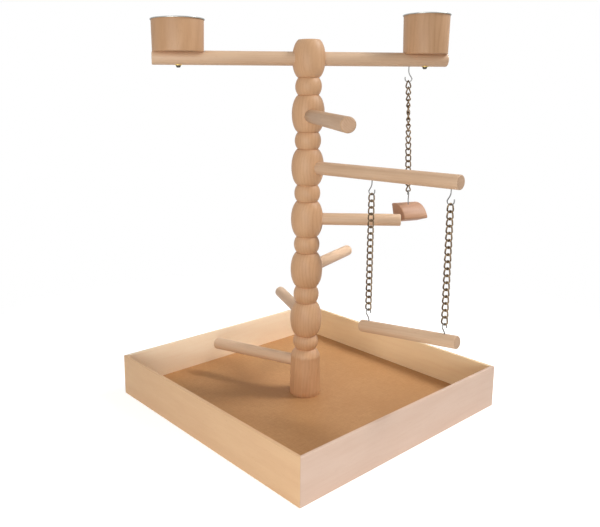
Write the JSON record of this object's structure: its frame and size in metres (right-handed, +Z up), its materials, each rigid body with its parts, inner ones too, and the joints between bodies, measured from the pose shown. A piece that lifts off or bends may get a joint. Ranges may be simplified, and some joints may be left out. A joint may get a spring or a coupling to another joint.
{
  "type": "parrot play stand",
  "caption": "Wooden table-top play stand for a parrot: square tray, turned post with round perches, crossbar with feeding cups, chain swing and hanging wooden toy.",
  "frame": {"origin": "The middle of the tray on the plane that it stands on.", "axes": "+Z is up along the post. +X and +Y are square to the tray's sides. The long perch that carries the swing points close to -Y."},
  "size_m": [0.41, 0.4662, 0.5885],
  "materials": {
    "tray_wood": "thin sanded boards, unvarnished",
    "floor_board": "brown fibre board, smooth",
    "post_wood": "turned beech, sanded, unvarnished",
    "perch_wood": "beech dowel, sanded, unvarnished",
    "cup_wood": "turned beech, sanded, unvarnished",
    "toy_wood": "beech, sanded, unvarnished",
    "bowl_steel": "drawn stainless sheet",
    "hook_wire": "zinc-plated wire",
    "chain_steel": "nickel-plated wire, dull",
    "screw_steel": "plated steel",
    "washer_brass": "brass-plated"
  },
  "bodies": {
    "stand": {"wall_back_right": "tray_wood", "wall_back_left": "tray_wood", "wall_front_left": "tray_wood", "wall_front_right": "tray_wood", "floor_board": "floor_board", "post": "post_wood", "post_screw": "screw_steel", "crossbar": "perch_wood", "perch_front": "perch_wood", "perch_swing": "perch_wood", "perch_right": "perch_wood", "perch_back_right": "perch_wood", "perch_back_left": "perch_wood", "perch_low_left": "perch_wood", "cup_left": "cup_wood", "cup_right": "cup_wood", "cup_screws": "screw_steel", "cup_washers": "washer_brass", "swing_hook_inner": "hook_wire", "swing_hook_outer": "hook_wire", "toy_hook": "hook_wire"},
    "left_bowl": {"bowl_left": "bowl_steel"},
    "right_bowl": {"bowl_right": "bowl_steel"},
    "swing_chains": {"swing_chain_inner": "chain_steel", "swing_chain_outer": "chain_steel"},
    "swing_seat": {"swing_bar": "perch_wood", "swing_bar_hook_inner": "hook_wire", "swing_bar_hook_outer": "hook_wire"},
    "toy_line": {"toy_chain": "chain_steel"},
    "toy": {"toy_block": "toy_wood", "toy_block_hook": "hook_wire"}
  },
  "joints": [
    {"name": "swing", "type": "hinge", "parent": "stand", "child": "swing_chains", "pos_m": [0.00626, -0.11944, 0.339], "axis": [0.0523, -0.9986, 0], "range_deg": [-40, 40]},
    {"name": "swing_bar_roll", "type": "hinge", "parent": "swing_chains", "child": "swing_seat", "pos_m": [0.00626, -0.11944, 0.17496], "axis": [0.0522, -0.9958, 0.0748], "range_deg": [-30, 30]},
    {"name": "toy_swing", "type": "hinge", "parent": "stand", "child": "toy_line", "pos_m": [0.12918, -0.07916, 0.492], "axis": [0.5075, -0.8616, 0], "range_deg": [0, 35]},
    {"name": "toy_block_roll", "type": "hinge", "parent": "toy_line", "child": "toy", "pos_m": [0.13353, -0.08351, 0.32808], "axis": [0.7188, -0.6942, 0.0375], "range_deg": [0, 30]},
    {"name": "left_bowl_lift", "type": "slide", "parent": "stand", "child": "left_bowl", "axis": [0, 0, 1], "range_m": [0, 0.06]},
    {"name": "right_bowl_lift", "type": "slide", "parent": "stand", "child": "right_bowl", "axis": [0, 0, 1], "range_m": [0, 0.06]}
  ]
}
